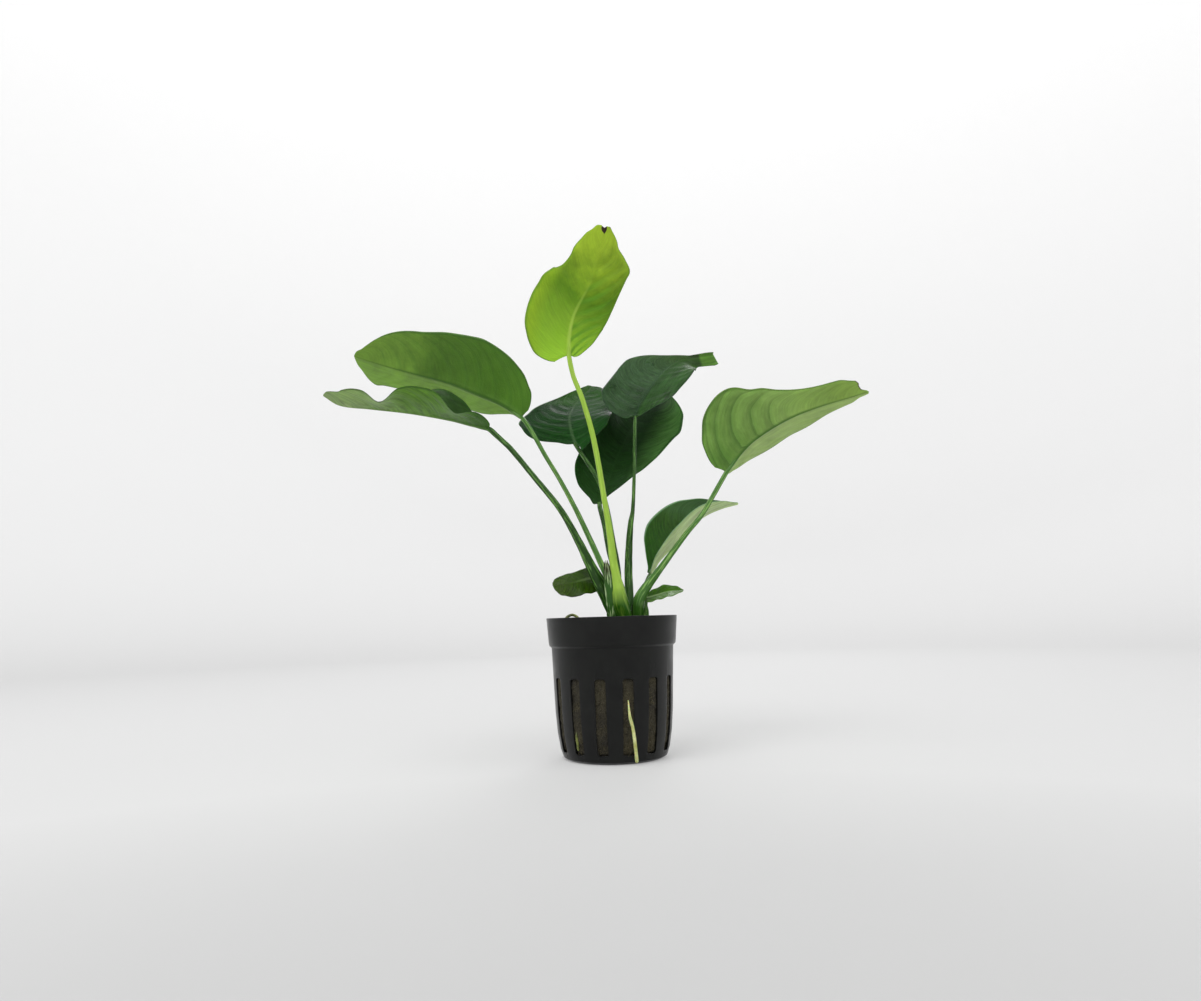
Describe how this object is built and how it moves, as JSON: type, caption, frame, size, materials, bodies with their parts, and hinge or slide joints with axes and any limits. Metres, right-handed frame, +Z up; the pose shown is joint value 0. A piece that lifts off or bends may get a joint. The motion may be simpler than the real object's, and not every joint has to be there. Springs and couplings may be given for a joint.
{
  "type": "potted aquarium plant",
  "caption": "Broad leaf anubias in a slotted black net pot: upright and spreading oval leaves on slim stems, a creeping rhizome on mineral wool, and pale roots.",
  "frame": {"origin": "middle of the pot's flat underside", "axes": "+Z up, +X to the plant's right as seen from the front, +Y to its back"},
  "size_m": [0.2146, 0.0933, 0.2043],
  "materials": {
    "pot_plastic": "black moulded polypropylene, satin",
    "mineral_wool": "fibrous, damp, dark olive brown",
    "rhizome": "firm green bark with ring scars",
    "leaf_young": "thin waxy leaf, bright yellow green",
    "leaf_green": "waxy leaf, mid green",
    "leaf_dark": "waxy leaf, dark green with a soft gloss",
    "stem_young": "smooth and wet, yellow green",
    "stem_green": "smooth and wet, mid to dark green",
    "dry_sheath": "dry and papery",
    "root": "smooth, pale yellow green"
  },
  "bodies": {
    "root": {"pot": "pot_plastic", "mineral_wool": "mineral_wool", "rhizome": "rhizome", "leaf_young": "leaf_young", "stem_young": "stem_young", "leaf_left_upper": "leaf_green", "stem_left_upper": "stem_green", "leaf_left_lower": "leaf_green", "stem_left_lower": "stem_green", "leaf_back_left": "leaf_dark", "stem_back_left": "stem_green", "leaf_back_right": "leaf_dark", "stem_back_right": "stem_green", "leaf_back_lower": "leaf_dark", "stem_back_lower": "stem_green", "leaf_right_upper": "leaf_green", "stem_right_upper": "stem_green", "leaf_right_lower": "leaf_green", "stem_right_lower": "stem_green", "leaf_small_left": "leaf_dark", "stem_small_left": "stem_green", "leaf_small_right": "leaf_green", "stem_small_right": "stem_green", "old_sheath": "dry_sheath", "root_front": "root", "root_side": "root", "root_arch": "root"}
  },
  "joints": []
}
